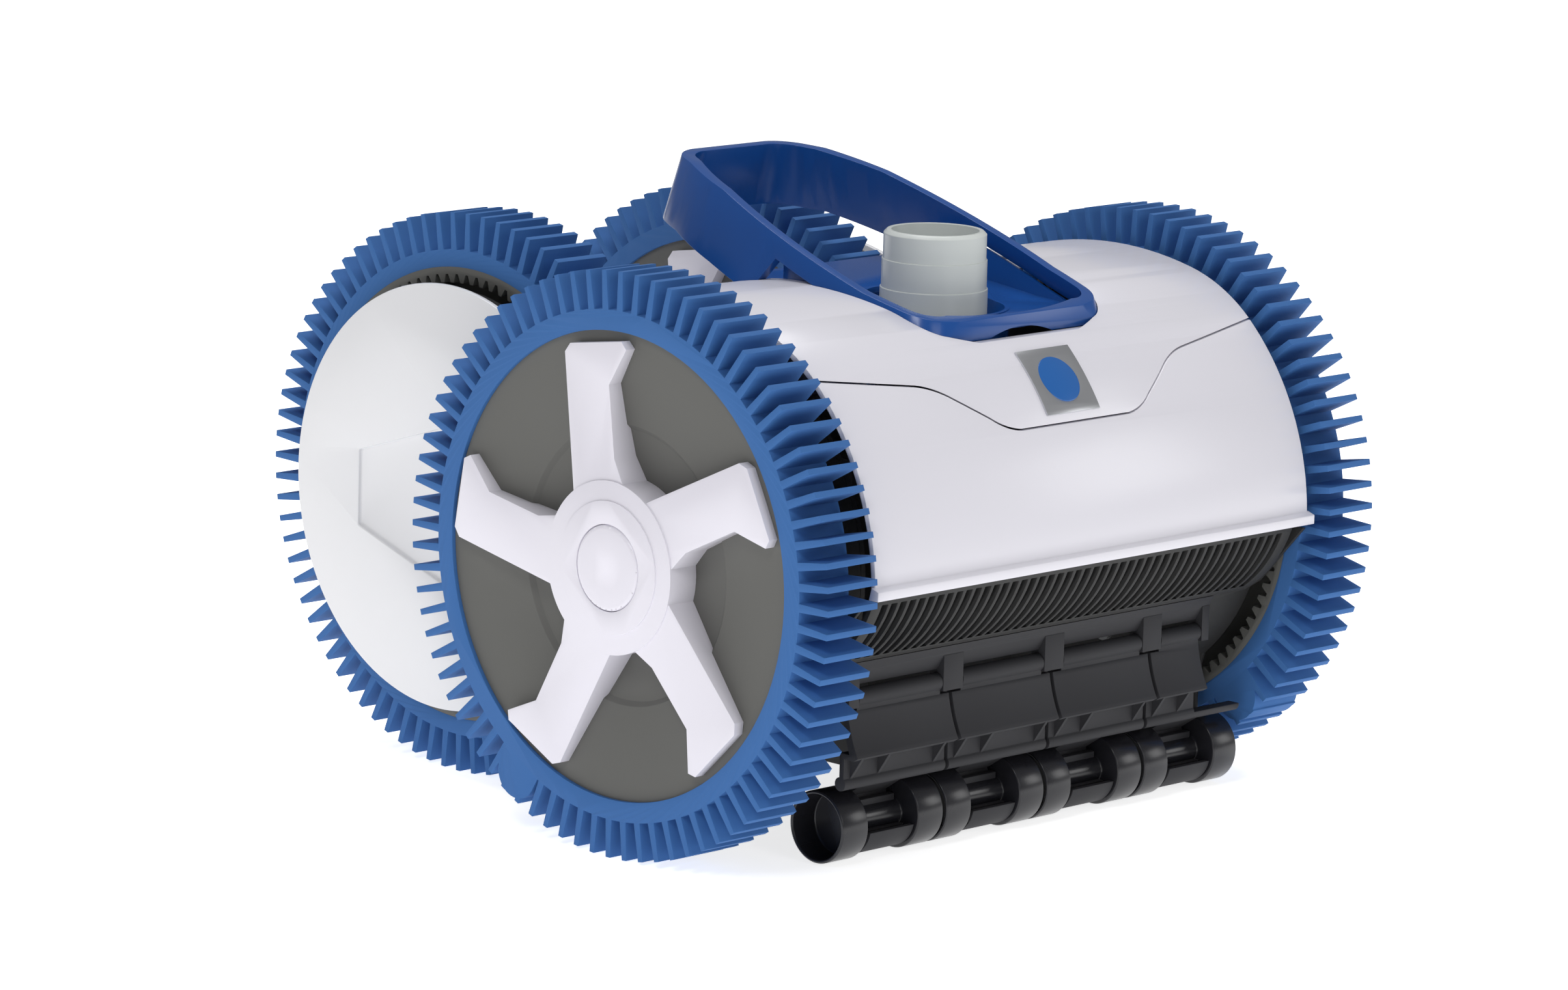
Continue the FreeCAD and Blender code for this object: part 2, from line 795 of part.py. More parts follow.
def train(name, side):
    """Reduction gear and drive gear of one side."""
    module = SIZES["train_module"]
    small, large = SIZES["small_teeth"], SIZES["large_teeth"]
    near = SIZES["gear_plane"]
    thin, thick = SIZES["large_gear_width"], SIZES["small_gear_width"]
    to_drive = angle_between(idler_y, idler_z, 0, axle_z.value)
    to_turbine = angle_between(idler_y, idler_z, turbine_y.value, turbine_z.value)
    bore = SIZES["post_radius"] + SIZES["running_gap"]
    far = near + thick + 1.0
    pinion = gear_disc(module, small, to_drive + math.pi / small, side_start(side, near, thick), thick, idler_y, idler_z, bore)
    wheel = gear_disc(module, large, to_turbine, side_start(side, far, thin), thin, idler_y, idler_z, bore)
    sleeve = cut(rod_side(side, 9.0, near + thick - 0.5, far + 0.5, idler_y, idler_z),
                 rod_side(side, bore, near, far + 1, idler_y, idler_z))
    node(f"{name}_reduction_gear", fuse(pinion, wheel, sleeve))
    drive_bore = SIZES["drive_shaft_radius"] + (0.0 if side < 0 else SIZES["running_gap"])
    drive = gear_disc(module, large, to_drive + math.pi, side_start(side, near, thick), thick, 0, axle_z.value, drive_bore)
    node(f"{name}_drive_gear", drive)
    spindle_phase = to_turbine + math.pi + math.pi / small
    return gear_disc(module, small, spindle_phase, side_start(side, far, thin), thin,
                     turbine_y.value, turbine_z.value, 0)


def drive_shaft(name, side, rear_face):
    """Shaft with the two pinions that turn the ring gears of the front and the rear wheel."""
    module = wheel_module.value
    teeth = SIZES["pinion_teeth"]
    width = SIZES["ring_gear_width"] - 3.0
    front_near = SIZES["front_wheel_face"] + 1.5
    rear_near = SIZES[rear_face] - 1.5 - width
    front = gear_disc(module, teeth, 0.0, side_start(side, front_near, width), width, 0, axle_z.value, 0)
    rear = gear_disc(module, teeth, 0.0, side_start(side, rear_near, width), width, 0, axle_z.value, 0)
    shaft = rod_side(side, size("drive_shaft_radius"), rear_near, front_near + width, 0, axle_z)
    node(f"{name}_drive_shaft", fuse(shaft, front, rear))


def clutch():
    """Face clutch on the right drive shaft and the fork that slides it along its guide."""
    near = SIZES["gear_plane"]
    disc = near - 3.0
    sleeve = turned_x([
        (disc - 14, 9), (disc - 14, 14), (disc - 10, 14), (disc - 10, 10.5), (disc - 7, 10.5), (disc - 7, 14),
        (disc - 4, 14), (disc - 4, 20), (disc, 20), (disc, size("drive_shaft_radius") + running_gap),
        (disc - 14, size("drive_shaft_radius") + running_gap),
    ], 0, axle_z)
    node("clutch_sleeve", sleeve)
    guide_y, guide_z = 30.0, axle_z + 25.0
    start, end = as_size(disc - 9.6), as_size(disc - 7.4)
    blade = prism_x([(0, axle_z - 17), (0, axle_z + 17), (guide_y - 4, guide_z + 6), (guide_y + 6, guide_z + 6),
                     (guide_y + 6, guide_z - 6), (guide_y - 6, guide_z - 12), (12, axle_z - 17)], start, end)
    throat = rod(11.0, start - 1, end + 1, 0, axle_z)
    eye = rod(7.0, start - 5, end + 5, guide_y, guide_z)
    hole = rod(3.0 + SIZES["running_gap"], start - 6, end + 6, guide_y, guide_z)
    node("shift_fork", cut(fuse(blade, eye), throat, hole))
    guide = rod(3.0, size("right_case_inner") + case_wall, size("disc_outer") - size("disc_thickness") - case_wall,
                guide_y, guide_z)
    node("fork_guide", guide)


def drive_train():
    left = train("left", -1)
    right = train("right", 1)
    reach = SIZES["gear_plane"] + SIZES["small_gear_width"] + 1.0 + SIZES["large_gear_width"] + 1.0
    shaft = rod(size("turbine_shaft_radius"), -reach, reach, turbine_y, turbine_z)
    node("turbine_shaft", fuse(shaft, left, right))
    drive_shaft("left", -1, "rear_left_face")
    drive_shaft("right", 1, "rear_right_face")
    clutch()


# ---------------------------------------------------------------- turbine and water way
def turbine():
    """Rotor with curved vanes, its two bushes and the housing it turns in."""
    half = size("housing_half")
    wall = case_wall
    rotor_half = half - wall - 2
    radius = size("turbine_radius")
    body, sketch = new_body("YZ_Plane", [
        (9, -1.5), (20, 0.5), (radius - 6, 5), (radius - 1, 10), (radius - 3, 12), (radius - 8, 8), (20, 3.5), (9, 1.5),
    ], lift=-rotor_half)
    one = pad(body, sketch, rotor_half * 2)
    doc.recompute()
    fan(body, [one], size("vane_count"))
    place(body, 0, turbine_y, turbine_z)
    hub = rod(11, -rotor_half, rotor_half, turbine_y, turbine_z)
    bore = rod(size("turbine_shaft_radius"), -half, half, turbine_y, turbine_z)
    node("turbine_rotor", cut(fuse(body, hub), bore))

    room = size("turbine_radius") + 2.5
    barrel = rod(room + wall, -half, half, turbine_y, turbine_z)
    chamber = rod(room, -half + wall, half - wall, turbine_y, turbine_z)
    outlet = post(24, 0, size("cone_y"), turbine_z + 20, size("cone_base") - 0.5)
    outlet_bore = post(21.5, 0, size("cone_y"), turbine_z, size("cone_base") + 1)
    intake = box((-half + wall, size("funnel_front") + wall, 60), (half - wall, size("funnel_back") - wall, turbine_z - 18))
    bush_seat = rod(10, -half - 1, half + 1, turbine_y, turbine_z)
    node("turbine_housing", cut(fuse(barrel, outlet), chamber, outlet_bore, intake, bush_seat))
    bushes = [cut(rod(10, start, start + wall, turbine_y, turbine_z),
                  rod(size("turbine_shaft_radius") + running_gap, start - 1, start + wall + 1, turbine_y, turbine_z))
              for start in (-half, half - wall)]
    node("turbine_bushes", group(*bushes))

    funnel = cut(
        box((-half, size("funnel_front"), size("funnel_foot")), (half, size("funnel_back"), turbine_z - 18)),
        box((-half + wall, size("funnel_front") + wall, 0), (half - wall, size("funnel_back") - wall, turbine_z)),
        rod(room + wall, -half - 1, half + 1, turbine_y, turbine_z),
    )
    node("intake_funnel", funnel)


def hose_swivel():
    """Hose cone in four slightly stepped rings, turning in a fixed collar above the water way."""
    tip, step, bore = size("cone_tip_radius"), size("cone_step"), size("cone_bore")
    top, base = size("cone_top"), size("cone_base")
    band = (top - base - 12) / 3
    outline = [(bore, base), (size("cone_flange"), base), (size("cone_flange"), base + 3), (tip + step * 3, base + 3)]
    height = base + 12
    for count in range(3, 0, -1):
        outline.append((tip + step * count, height))
        outline.append((tip + step * (count - 1), height))
        height = height + band
    outline.extend([(tip, top - 1.5), (tip - 1.5, top), (bore, top)])
    node("hose_cone", turned_z(outline, 0, size("cone_y")))
    collar = [
        (tip + step * 3 + 0.3, base + 3.4), (size("well_radius") - 0.3, base + 3.4), (size("well_radius") - 0.3, base + 8),
        (tip + step * 3 + 0.3, base + 8),
    ]
    node("swivel_collar", turned_z(collar, 0, size("cone_y")))


# ---------------------------------------------------------------- handle ring and well
def ring_plan(inset, front=None):
    """Plan of the handle ring: blunt front, widest near the hose, narrower behind."""
    gap = as_size(inset)
    nose = size("cone_y") - 49
    return [
        (-(as_size(44) - gap), nose + gap), Arc(160, -1), (44 - gap, nose + gap), Arc(as_size(16), -1),
        (58 - gap, nose + 14), Arc(260, -1), (52 - gap, nose + 127), Arc(120, -1), (38 - gap, nose + 166),
        Arc(as_size(22), -1), (20, nose + 176 - gap), (-as_size(20), nose + 176 - gap), Arc(as_size(22), -1),
        (-(as_size(38) - gap), nose + 166), Arc(120, -1), (-(as_size(52) - gap), nose + 127), Arc(260, -1),
        (-(as_size(58) - gap), nose + 14), Arc(as_size(16), -1),
    ]


def ring_side(drop, panel_drop):
    """Side view of the ring in (y, z) down to a drop below its top line."""
    nose = size("cone_y") - 49
    floor = size("floor_height")
    top = [(nose - 3, floor + 4), (nose + 34, floor + 14), (nose + 127, floor + 46.5), (nose + 157, floor + 54),
           (nose + 180, floor + 57)]
    low = [(nose + 180, floor + 57 - panel_drop), (nose + 157, floor + 54 - panel_drop), (nose + 96, floor + 35.6 - panel_drop),
           (nose + 84, floor + 31.5 - drop), (nose + 34, floor + 14 - drop), (nose - 3, floor + 4 - drop)]
    return top + low


def ring_section(points, corner, end, inset):
    """Closed plan from the five corners of its right half, given from the front, mirrored to the left."""
    gap = as_size(inset)
    nose = size("cone_y") - 49
    front, shoulder, waist, hip, tail = points
    half = [
        (front[0] - gap, nose + front[1] + gap), Arc(as_size(corner) - gap, -1),
        (shoulder[0] - gap, nose + shoulder[1]), Arc(260, -1), (waist[0] - gap, nose + waist[1]), Arc(120, -1),
        (hip[0] - gap, nose + hip[1] - gap), Arc(as_size(end) - gap, -1), (tail[0] - gap, nose + tail[1] - gap),
    ]
    other = [step if isinstance(step, Arc) else (-as_size(step[0]), step[1]) for step in reversed(half)]
    return half + other + [Arc(160, -1)]


def ring_block(inset):
    """The leaning block that the ring's outer or inner faces lie on."""
    low, high = size("floor_height") - 10, size("floor_height") + 57
    foot = ((47, -5.2), (62.8, 10.3), (67.3, 127), (52, 176.5), (26, 193))
    brim = ((36, 14), (45, 24), (49.2, 127), (37.5, 166), (22, 176))
    return flared(ring_section(foot, 20, 32, inset), low, ring_section(brim, 12, 19, inset), high)


def handle():
    """Blue handle ring with leaning walls: thin band in front, deep side panels and back behind."""
    band = cut(ring_block(0), ring_block(size("ring_wall")))
    side = prism_x(ring_side(size("ring_band"), size("ring_depth")), -90, 90)
    node("handle_ring", common(band, side))


def well():
    """Blue floor inside the ring with the round well that the hose cone stands in."""
    floor, wall = size("floor_height"), size("floor_wall")
    nose = size("cone_y") - 49
    plate = common(
        prism_z(ring_plan(size("ring_wall")), floor - 20, floor + 30),
        prism_x([(nose, floor - wall), (nose, floor), (nose + 40, floor + 1), (nose + 121, floor + 10),
                 (nose + 121, floor + 10 - wall), (nose + 40, floor + 1 - wall)], -80, 80),
    )
    deep = size("well_depth")
    radius = size("well_radius")
    cup = post(radius + 2, 0, size("cone_y"), floor - deep, floor + 1)
    bore = post(radius, 0, size("cone_y"), floor - deep + 2, floor + 30)
    drain = post(24 + play, 0, size("cone_y"), floor - deep - 1, floor)
    tray = common(
        cut(prism_z(ring_plan(2.9), floor - 20, floor + 40), prism_z(ring_plan(size("ring_wall")), floor - 21, floor + 41)),
        prism_x([(nose + 5, floor - wall), (nose + 84, floor + 5 - wall), (nose + 84, floor + 22.2), (nose + 34, floor + 4.8),
                 (nose + 17, floor)], -80, 80),
    )
    node("throat_well", cut(fuse(plate, cup, tray), bore, drain))


# ---------------------------------------------------------------- covers
cover_radius = size("cover_radius")
cover_wall = size("cover_wall")
cover_half = size("cover_half")
SEAM_ANGLE = 46.3


def on_cover(angle, radius):
    """A (y, z) point at an angle above the front horizontal, a radius from the front axle."""
    turn = math.radians(angle)
    return front_y - radius * round(math.cos(turn), 6), axle_z + radius * round(math.sin(turn), 6)


def seam_region(above, shift):
    """(x, z) region above or below the seam between the two white covers."""
    side = axle_z + 86 + shift
    line = [
        (-160, side + 3), (-84, side - 6.5), Arc(48, 1), (-66, side - 13), (-50, side - 22), Arc(34, -1), (-34, side - 28),
        (34, side - 28), Arc(34, -1), (50, side - 22), (66, side - 13), Arc(48, 1), (84, side - 6.5), (160, side + 3),
    ]
    if above:
        return line + [(160, axle_z + 260), (-160, axle_z + 260)]
    return line + [(160, axle_z - 200), (-160, axle_z - 200)]


def front_cover():
    """Lower front cover: a quarter shell about the front axle with a lip along its foot."""
    inner = cover_radius - cover_wall
    shell = prism_x([
        on_cover(0, inner), on_cover(0, cover_radius), Arc(cover_radius, 1), on_cover(60, cover_radius),
        on_cover(60, inner), Arc(inner, -1),
    ], -cover_half, cover_half)
    reach = size("lip_reach")
    lip = prism_x([
        (front_y - cover_radius - reach, axle_z), (front_y - cover_radius - reach, axle_z + size("lip_height")),
        (front_y - cover_radius + 1, axle_z + size("lip_height") + 1.5), (front_y - inner, axle_z),
    ], -cover_half - 1.5, cover_half + 1.5)
    upper = prism_y(seam_region(True, -size("seam_gap") / 2), front_y - 200, front_y + 40)
    node("front_cover", cut(fuse(shell, lip), upper))


def on_crown(y, gap):
    """A (y, z) point on the flat crown of the top cover; y counts from the front axle."""
    radius = size("crown_radius")
    fall = SIZES["crown_radius"] - math.sqrt(SIZES["crown_radius"] ** 2 - y * y)
    return front_y + y, axle_z + size("crown_rise") - fall - gap


def top_outline(shrink):
    """(y, z) outline of the top cover: round the front axle, over a flat crown, then down a steep back."""
    gap = as_size(shrink)
    bend = size("cover_back_bend")
    back_y = front_y + 58 - gap
    return [
        on_cover(15, cover_radius - gap), Arc(cover_radius - gap, 1), on_cover(46, cover_radius - gap),
        Arc(size("crown_bend") - gap, 1), on_crown(-45, gap), Arc(size("crown_radius") - gap, 1), on_crown(45, gap),
        Arc(bend - gap, 1), (back_y, axle_z + 92), (back_y, size("cover_foot") - gap * 20),
        (front_y - 60, size("cover_foot") - gap * 20),
    ]


def pod_plan(gap):
    """Plan of the raised pod that carries the ring: the ring's plan, cut square behind."""
    gap = as_size(gap)
    nose = size("cone_y") - 49
    return [
        (-(as_size(43) - gap), nose + 1 + gap), Arc(160, -1), (43 - gap, nose + 1 + gap), Arc(as_size(15), -1),
        (57 - gap, nose + 14), (53 - gap, nose + 84 - gap), (-(as_size(53) - gap), nose + 84 - gap),
        (-(as_size(57) - gap), nose + 14), Arc(as_size(15), -1),
    ]


def pod_side(gap):
    """(y, z) outline of the pod below the ring's band."""
    gap = as_size(gap)
    nose = size("cone_y") - 49
    floor = size("floor_height")
    drop = size("ring_band")
    return [(nose - 4, floor + 4 - drop - gap), (nose + 34, floor + 14 - drop - gap),
            (nose + 90, floor + 33.6 - drop - gap), (nose + 90, floor - 40), (nose - 4, floor - 40)]


def top_cover():
    """Upper cover: a shell from the seam over the top and down the back, with the pod on it."""
    floor = size("floor_height")
    hull = prism_x(top_outline(0), -cover_half, cover_half)
    pod = common(prism_z(pod_plan(0), floor - 20, floor + 50), prism_x(pod_side(0), -80, 80))
    room = prism_x(top_outline(cover_wall), -cover_half - 1, cover_half + 1)
    ring_room = prism_z(ring_plan(cover_wall), floor - 40, floor + 60)
    nose = size("cone_y") - 49
    above = [(nose - 10, floor + 80), (nose - 10, floor + 4 - size("ring_band"))]
    above += list(reversed(ring_side(size("ring_band"), size("ring_depth"))[5:]))
    band_room = common(ring_block(-as_size(0.3)),
                       prism_x(above + [(nose + 190, floor + 80)], -90, 90))
    lower = prism_y(seam_region(False, size("seam_gap") / 2), front_y - 200, front_y + 10)
    flank = [rod_side(side, size("pod_radius") + play, case_inner - play, case_outer + play, front_y, axle_z)
             for side in (-1, 1)]
    node("top_cover", cut(fuse(hull, pod), room, ring_room, band_room, lower, *flank))


def rear_cover():
    """Rear cover: a lower hood between the rear wheels, closing the frame behind the turbine."""
    left = -(size("rear_left_face") - tyre_width - 7)
    right = size("rear_right_face") - tyre_width - 7
    start = front_y + 56
    foot = size("pan_height") + 3
    low, high = 160, size("cover_foot") - 1
    outline = [(start, foot), (start, high), (start + 26, low + 8), (rear_y - 20, low), Arc(80, 1),
               (rear_y + 42, 96), (rear_y + 42, foot)]
    wall = cover_wall
    inner = [(start - 1, foot - 1), (start - 1, high - wall - 1), (start + 25, low + 8 - wall),
             (rear_y - 20, low - wall), Arc(80 - wall, 1), (rear_y + 42 - wall, 96), (rear_y + 42 - wall, foot - 1)]
    node("rear_cover", cut(prism_x(outline, left, right), prism_x(inner, left + wall, right - wall)))


def badge_round(angle):
    """Round inlay, level with the plate's outer face at an angle of the front cover."""
    inlay = doc.addObject("Part::Cylinder", "Inlay")
    bind(inlay, Radius=size("badge_radius"), Height=size("badge_depth"))
    seat_y, seat_z = on_cover(angle, cover_radius + 0.1)
    place(inlay, 0, seat_y, seat_z, Rotation(Vector(1, 0, 0), 90 - angle))
    return inlay


def badge():
    """Blank plate with a round inlay on the front cover."""
    low, high = 31.6, 47.0
    upper = [on_cover(low, cover_radius), on_cover(low, cover_radius + 0.9), Arc(cover_radius + 0.9, 1),
             on_cover(high, cover_radius + 0.9), on_cover(high, cover_radius), Arc(cover_radius, -1)]
    plate = prism_x(upper, -16.5, 16.5)
    node("badge_plate", cut(plate, badge_round((low + high) / 2)))
    node("badge_disc", badge_round((low + high) / 2))


def grille():
    """Black grille under the lip: upright slots in a wall that curls in below."""
    reach = cover_radius - 4
    outline = [
        (front_y - reach, axle_z - 0.2), Arc(62, -1), (front_y - 87, axle_z - 34), (front_y - 84, axle_z - 34),
        Arc(58, 1), (front_y - reach + 3.4, axle_z - 0.2),
    ]
    wall = prism_x(outline, -cover_half + 4, cover_half - 4)
    slots = []
    count = int(SIZES["slot_count"])
    pitch = (SIZES["cover_half"] - 9) * 2 / count
    body, sketch = new_body("YZ_Plane", [
        (front_y - reach - 4, axle_z - 4), (front_y - 80, axle_z - 4), (front_y - 80, axle_z - 31),
        (front_y - reach - 4, axle_z - 31),
    ], lift=-(count - 1) * pitch / 2 - size("slot_width") / 2)
    one = pad(body, sketch, size("slot_width"))
    doc.recompute()
    row = body.newObject("PartDesign::LinearPattern", "Row")
    row.Originals = [one]
    row.Direction = ([part for part in body.Origin.OriginFeatures if part.Role == "X_Axis"][0], [""])
    row.Length = pitch * (count - 1)
    row.Occurrences = count
    body.Tip = row
    node("front_grille", cut(wall, body))


# ---------------------------------------------------------------- frame
def chassis():
    """Black frame: two side plates joined by a pan and a beam, and a tray between the rear wheels."""
    x, thick = size("side_plate_x"), size("side_plate")
    low = size("pan_height")
    back = size("funnel_back")
    outline = [
        (front_y - 78, axle_z + 50), (front_y - 78, axle_z - 33), Arc(70, 1), (front_y - 32, low + 20), (front_y - 32, low),
        (front_y + 50, low), (front_y + 50, low + 35), (back + 2, low + 50), (back + 2, axle_z + 50),
    ]
    hole = rod(size("turbine_shaft_radius") + 2, -x - 1, x + 1, turbine_y, turbine_z)
    plates = [prism_x(outline, x - thick, x), prism_x(outline, -x, -x + thick)]
    pan = box((-x + thick, back, low), (x - thick, front_y + 70, low + 3))
    beam = box((-x + thick, back, low), (x - thick, back + 2, axle_z - 40))
    left = -(size("rear_left_face") - tyre_width - 7)
    right = size("rear_right_face") - tyre_width - 7
    tray = box((left, front_y + 56, low), (right, rear_y + 42, low + 3))
    node("chassis", cut(fuse(*plates, pan, beam, tray), hole))


def mouth_plate():
    """Plate under the grille that carries the skirts' hinge rod between its ears."""
    x = size("side_plate_x") - size("side_plate")
    hinge_y, hinge_z = size("hinge_y"), size("hinge_z")
    left = skirt_left(0)
    gap = size("skirt_pitch") - size("skirt_width")
    end = size("last_skirt_end") + 5
    top = axle_z - 34.4
    plate = prism_x([
        (front_y - 86.5, top), (hinge_y, hinge_z + 5.5), (hinge_y + 3, hinge_z + 5.5), (front_y - 83.5, top),
    ], left - gap / 2, end)
    bridge = box((-x, front_y - 84, top - 2.6), (x, size("funnel_front") - 0.2, top))
    ears = []
    count = int(SIZES["skirt_count"])
    for index in range(count + 1):
        middle = left + size("skirt_pitch") * index - gap / 2
        low = middle if index == 0 else middle - gap / 2 - 5
        high = middle + gap / 2 + 5
        if index == count:
            low, high = size("last_skirt_end") + 0.4, end
        ears.append(prism_x([
            (hinge_y - 4, hinge_z - 3.6), (hinge_y - 4, hinge_z + 12), (hinge_y + 4, hinge_z + 12), (hinge_y + 4, hinge_z - 3.6),
        ], low, high))
    rod_hole = rod(size("hinge_rod_radius"), left - 10, end + 10, hinge_y, hinge_z)
    pods = [rod_side(side, size("pod_radius") + play, case_inner - play, case_outer + 5, front_y, axle_z)
            for side in (-1, 1)]
    node("mouth_plate", cut(fuse(plate, bridge, *ears), rod_hole, *pods))
    node("skirt_hinge_rod", rod(size("hinge_rod_radius"), left - 1, end, hinge_y, hinge_z))


def skirt_left(index):
    """The x of a skirt's left edge."""
    run = size("skirt_pitch") * (size("skirt_count") - 1) + size("skirt_width")
    return size("skirt_centre") - run / 2 + size("skirt_pitch") * index


def skirts():
    """Hinged front skirts, each with a roller between its arms."""
    hinge_y, hinge_z = size("hinge_y"), size("hinge_z")
    roller_y, roller_z = size("roller_y"), size("roller_z")
    width = size("skirt_width")
    radius, ring, shaft = size("roller_radius"), size("roller_ring"), size("roller_shaft")
    wall = size("roller_wall")
    ear = as_size(5.4)
    plate = prism_x([
        (hinge_y - 2.5, hinge_z - 5), Arc(60, 1), (hinge_y - 9, hinge_z - 24), (hinge_y - 6.5, hinge_z - 25.5),
        (hinge_y - 1, hinge_z - 25.5), (hinge_y - 1, hinge_z - 36), (hinge_y + 1.5, hinge_z - 36), (hinge_y + 1.5, hinge_z - 23),
        (hinge_y - 4, hinge_z - 23), Arc(57, -1), (hinge_y + 0.5, hinge_z - 5),
    ], 0, width)
    knuckle = rod(4.0, ear, width - ear, hinge_y, hinge_z)
    neck = box((ear, hinge_y - 2.5, hinge_z - 6), (width - ear, hinge_y + 1.5, hinge_z))
    bar = rod(3.0, 0, width, hinge_y + 1, hinge_z - 36.5)
    ribs = [prism_x([(hinge_y - 8, hinge_z - 24.5), (hinge_y, hinge_z - 24.5), (hinge_y, hinge_z - 36)],
                    width * share, width * share + 1.6) for share in (0.06, 0.33, 0.88)]
    inner = ring + 3.0
    arm = prism_x([
        (hinge_y - 1, hinge_z - 36), (hinge_y + 3, hinge_z - 35), (roller_y + 9, roller_z + 7), (roller_y + 9, roller_z - 9),
        (roller_y - 2, roller_z - 9.5), (roller_y - 2, roller_z - 3), (roller_y + 3, roller_z + 9.5),
    ], inner, width - ring - 1)
    pad_outer, pad_inner = radius - 1.4, radius - 4
    scuff = common(
        cut(rod(pad_outer, inner, width - ring - 1, roller_y, roller_z),
            rod(pad_inner, inner - 1, width, roller_y, roller_z)),
        prism_x([(roller_y - 30, roller_z - 3), (roller_y + 4, roller_z - 3), (roller_y + 4, roller_z - 30),
                 (roller_y - 30, roller_z - 30)], inner - 1, width),
    )
    web = box((inner, roller_y + 0.5, roller_z - pad_inner - 0.5), (width - ring - 1, roller_y + 4, roller_z - 7))
    sleeve = rod(shaft + 2.6, inner, width - ring - 1, roller_y, roller_z)
    bore = rod(shaft + running_gap, inner - 1, width, roller_y, roller_z)
    mouth = box((inner - 1, roller_y - 20, roller_z - 3.5), (width - ring, roller_y - 2, roller_z + 10))
    rod_bore = rod(size("hinge_rod_radius") + running_gap, ear - 1, width, hinge_y, hinge_z)
    design = cut(fuse(cut(fuse(plate, knuckle, neck, bar, *ribs, arm, sleeve), mouth), scuff, web), bore, rod_bore)

    roller = turned_x([
        (0, radius - wall), (0, radius), (ring, radius), (ring, shaft), (width - ring, shaft), (width - ring, radius),
        (width, radius), (width, radius - wall), (width - ring + 2, radius - wall), (width - ring + 2, 0),
        (ring - 2, 0), (ring - 2, radius - wall),
    ], roller_y, roller_z)
    for index in range(int(SIZES["skirt_count"])):
        start = skirt_left(index)
        skirt = copy_of(design, start)
        if index == int(SIZES["skirt_count"]) - 1:
            spare = box((size("last_skirt_end"), hinge_y - 20, hinge_z - 36), (start + width + 1, hinge_y + 20, hinge_z + 10))
            skirt = cut(skirt, spare)
        node(f"front_skirt_{index + 1}", skirt)
        node(f"skirt_roller_{index + 1}", copy_of(roller, start))


def screws():
    """Pan-head screws that hold the gear cases to the side plates."""
    pieces = []
    for side in (-1, 1):
        for y, z in ((front_y - 55, axle_z + 30), (front_y - 25, axle_z - 60), (front_y + 20, axle_z - 45),
                     (front_y + 12, axle_z + 40)):
            head = rod_side(side, 4.0, size("side_plate_x") - size("side_plate") - 2.5,
                            size("side_plate_x") - size("side_plate"), y, z)
            pieces.append(head)
    node("case_screws", group(*pieces))


def check_and_write():
    """Recompute, refuse any failed object or broken shape, and write one STEP file for each node."""
    doc.recompute()
    for thing in doc.Objects:
        if {"Invalid", "Error"} & set(thing.State):
            raise RuntimeError(f"{thing.Label} failed: {thing.State}")
    for label, thing in NODES.items():
        if thing.Shape.isNull() or not thing.Shape.isValid():
            raise RuntimeError(f"{label} has no valid shape")
    os.makedirs("parts", exist_ok=True)
    for label, thing in NODES.items():
        thing.Shape.exportStep(f"parts/{label}.step")
        spread = thing.Shape.BoundBox
        print(f"{label}: {len(thing.Shape.Solids)} solid(s), {thing.Shape.Volume / 1000:.1f} cm3, "
              f"x {spread.XMin:.1f}..{spread.XMax:.1f} y {spread.YMin:.1f}..{spread.YMax:.1f} "
              f"z {spread.ZMin:.1f}..{spread.ZMax:.1f}")
    print(len(NODES), "nodes")


wheels()
gear_cases()
drive_train()
turbine()
hose_swivel()
handle()
well()
front_cover()
top_cover()
rear_cover()
badge()
grille()
chassis()
mouth_plate()
skirts()
screws()
check_and_write()
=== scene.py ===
import json
import math

import bpy
from bpy.props import FloatProperty, FloatVectorProperty, IntProperty, PointerProperty
from mathutils import Matrix, Vector

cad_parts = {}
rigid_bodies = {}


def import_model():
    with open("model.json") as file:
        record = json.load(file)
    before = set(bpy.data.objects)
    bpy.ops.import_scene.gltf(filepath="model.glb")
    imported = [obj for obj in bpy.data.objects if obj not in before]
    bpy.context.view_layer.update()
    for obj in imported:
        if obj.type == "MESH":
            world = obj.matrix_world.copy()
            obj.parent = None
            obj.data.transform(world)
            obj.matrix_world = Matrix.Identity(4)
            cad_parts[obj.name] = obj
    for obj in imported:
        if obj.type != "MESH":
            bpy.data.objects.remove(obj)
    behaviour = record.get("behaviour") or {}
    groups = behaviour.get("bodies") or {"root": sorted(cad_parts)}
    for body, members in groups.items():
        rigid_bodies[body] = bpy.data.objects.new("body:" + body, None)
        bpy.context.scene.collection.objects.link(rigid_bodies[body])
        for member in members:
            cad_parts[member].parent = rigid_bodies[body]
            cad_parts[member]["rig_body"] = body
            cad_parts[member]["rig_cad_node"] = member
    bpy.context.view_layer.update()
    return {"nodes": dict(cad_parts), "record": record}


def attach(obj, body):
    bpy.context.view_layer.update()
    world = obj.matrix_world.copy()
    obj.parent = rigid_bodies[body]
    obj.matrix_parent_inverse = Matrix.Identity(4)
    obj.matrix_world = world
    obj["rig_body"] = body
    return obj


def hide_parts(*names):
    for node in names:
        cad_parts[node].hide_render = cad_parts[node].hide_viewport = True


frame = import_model()

bl_info = {
    "name": "Pool Cleaner Builder",
    "version": (1, 0, 0),
    "blender": (4, 5, 0),
    "location": "View3D > Sidebar > Cleaner",
    "description": "Dresses the wheeled pool cleaner: softened mouldings, treads and finishes",
    "category": "Object",
}

RECORD = frame["record"]
BODY_OF = {node: body for body, nodes in RECORD["behaviour"]["bodies"].items() for node in nodes}
SLOT_OF = {part["node"]: part["material_slot"] for part in RECORD["subparts"]}

MM = 0.001
WHEELS = ("front_left", "front_right", "rear_left", "rear_right")
SKIRTS = (1, 2, 3, 4)

